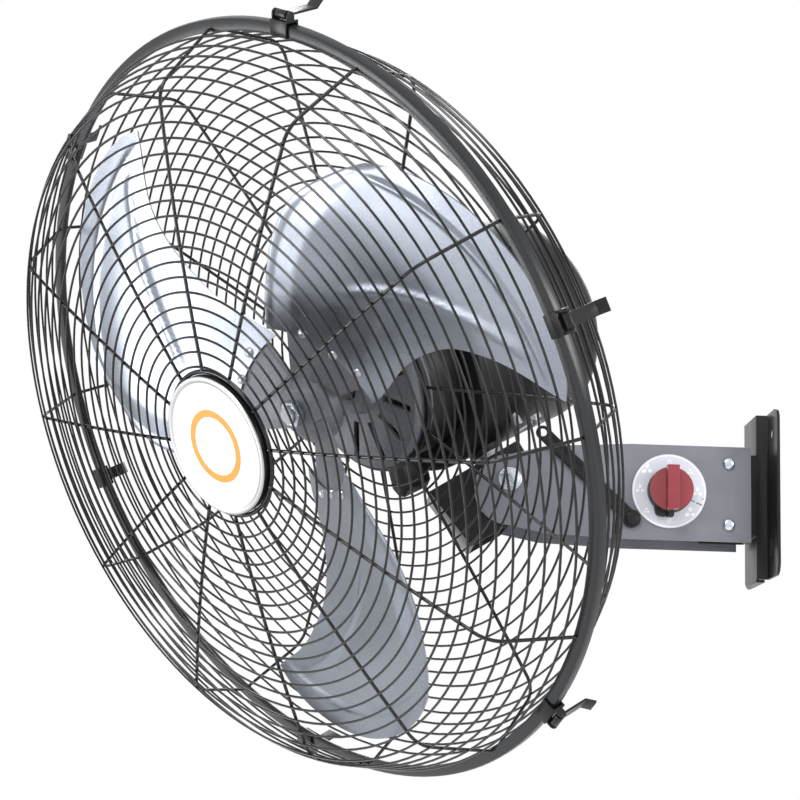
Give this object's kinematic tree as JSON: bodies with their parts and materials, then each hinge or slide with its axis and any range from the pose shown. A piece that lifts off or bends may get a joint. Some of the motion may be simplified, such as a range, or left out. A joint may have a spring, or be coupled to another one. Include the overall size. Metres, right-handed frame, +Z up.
{
  "type": "wall mounted fan",
  "caption": "Wall mounted oscillating fan: round wire guard with swept blades on a motor head, tilting neck, flat arm with dial switch, hat-shaped wall bracket.",
  "frame": {"origin": "on the wall plane, at the arm's mid-plane and mid-height, between the bracket's wall flanges", "axes": "+Z up, +X into the wall, -X out along the arm; the dial faces -Y; the stored head looks along -X, turned towards -Y and tilted down"},
  "size_m": [0.7184, 0.6325, 0.6489],
  "materials": {
    "bracket_paint": "satin black paint",
    "arm_paint": "satin grey paint",
    "guard_paint": "dark grey coated wire",
    "zinc": "zinc plated",
    "steel": "turned steel",
    "cast_metal": "sand-textured casting",
    "blade_metal": "rolled aluminium sheet",
    "copper": "varnished copper winding",
    "laminate": "stacked steel laminations",
    "white_plastic": "white moulded plastic",
    "red_plastic": "glossy red moulded plastic",
    "black_plastic": "black moulded plastic",
    "dial_print": "printed plastic sheet, pale lavender grey",
    "badge_metal": "pressed aluminium, satin",
    "red_wire": "red wire insulation"
  },
  "bodies": {
    "bracket": {"wall_bracket": "bracket_paint", "arm_channel": "arm_paint", "arm_screw_near_upper": "zinc", "arm_screw_near_lower": "zinc", "arm_screw_far_upper": "zinc", "arm_screw_far_lower": "zinc", "switch_body": "black_plastic", "dial_plate": "dial_print", "switch_nut": "zinc", "capacitor": "white_plastic", "capacitor_clip": "steel", "terminal_block": "white_plastic", "switch_lead": "red_wire", "capacitor_lead": "white_plastic", "tilt_bolt": "zinc", "tilt_washer": "zinc", "tilt_spring_washer": "zinc", "tilt_nut": "zinc", "link_stud": "zinc"},
    "neck": {"neck_yoke": "bracket_paint", "swivel_post": "steel", "post_nut": "zinc", "thrust_washer": "steel"},
    "head": {"gearbox_case": "cast_metal", "front_bell": "cast_metal", "front_bearing": "steel", "motor_shell": "bracket_paint", "stator_core": "laminate", "winding_front": "copper", "winding_rear": "copper", "rear_bell": "cast_metal", "rear_bearing": "steel", "motor_cover": "bracket_paint", "cable_box": "black_plastic", "front_guard": "guard_paint", "rear_guard": "guard_paint", "badge": "badge_metal", "clip_base_1": "guard_paint", "clip_base_2": "guard_paint", "clip_base_3": "guard_paint", "clip_base_4": "guard_paint", "clip_base_5": "guard_paint", "clip_base_6": "guard_paint"},
    "rotor": {"rotor_shaft": "steel", "rotor_core": "laminate", "hub_spider": "cast_metal", "blade_1": "blade_metal", "blade_2": "blade_metal", "blade_3": "blade_metal", "hub_nut": "zinc"},
    "knob": {"selector_knob": "black_plastic", "knob_cap": "red_plastic"},
    "crank": {"oscillating_crank": "steel"},
    "link": {"link_strap": "bracket_paint"},
    "lever_1": {"clip_lever_1": "zinc"},
    "lever_2": {"clip_lever_2": "zinc"},
    "lever_3": {"clip_lever_3": "zinc"},
    "lever_4": {"clip_lever_4": "zinc"},
    "lever_5": {"clip_lever_5": "zinc"},
    "lever_6": {"clip_lever_6": "zinc"}
  },
  "joints": [
    {"name": "tilt", "type": "hinge", "parent": "bracket", "child": "neck", "pos_m": [-0.2462, 0, 0.0078], "axis": [0, 1, 0], "range_deg": [-8, 27]},
    {"name": "oscillation", "type": "hinge", "parent": "neck", "child": "head", "pos_m": [-0.2462, 0, 0.0078], "axis": [-0.5329, 0, 0.8462], "range_deg": [-78.1, 11.9]},
    {"name": "blade_spin", "type": "hinge", "parent": "head", "child": "rotor", "pos_m": [-0.43606, -0.08628, 0.0609], "axis": [-0.7089, -0.5461, -0.4464], "continuous": true},
    {"name": "selector_turn", "type": "hinge", "parent": "bracket", "child": "knob", "pos_m": [-0.0968, -0.045, 0.001], "axis": [0, 1, 0], "continuous": true},
    {"name": "crank_turn", "type": "hinge", "parent": "head", "child": "crank", "pos_m": [-0.23666, -0.02975, 0.05848], "axis": [-0.5329, 0, 0.8462], "range_deg": [-157, 25]},
    {"name": "link_swing", "type": "hinge", "parent": "bracket", "child": "link", "pos_m": [-0.132, -0.0401, -0.0262], "axis": [0, 1, 0], "range_deg": [-10.5, 3.5]},
    {"name": "lever_1_open", "type": "hinge", "parent": "head", "child": "lever_1", "pos_m": [-0.67937, -0.01439, 0.32729], "axis": [0.3084, -0.8092, 0.5001], "range_deg": [0, 110]},
    {"name": "lever_2_open", "type": "hinge", "parent": "head", "child": "lever_2", "pos_m": [-0.66097, 0.20336, 0.03169], "axis": [-0.3951, -0.2168, 0.8927], "range_deg": [0, 110]},
    {"name": "lever_3_open", "type": "hinge", "parent": "head", "child": "lever_3", "pos_m": [-0.4278, 0.12366, -0.24108], "axis": [-0.7036, 0.5924, 0.3926], "range_deg": [0, 110]},
    {"name": "lever_4_open", "type": "hinge", "parent": "head", "child": "lever_4", "pos_m": [-0.21302, -0.1738, -0.21826], "axis": [-0.3084, 0.8092, -0.5001], "range_deg": [0, 110]},
    {"name": "lever_5_open", "type": "hinge", "parent": "head", "child": "lever_5", "pos_m": [-0.23141, -0.39155, 0.07733], "axis": [0.3951, 0.2168, -0.8927], "range_deg": [0, 110]},
    {"name": "lever_6_open", "type": "hinge", "parent": "head", "child": "lever_6", "pos_m": [-0.46459, -0.31184, 0.35011], "axis": [0.7036, -0.5924, -0.3926], "range_deg": [0, 110]}
  ],
  "couplings": [
    {"joint": "crank_turn", "follows": "oscillation", "ratio": 2},
    {"joint": "link_swing", "follows": "tilt", "ratio": -0.37}
  ]
}
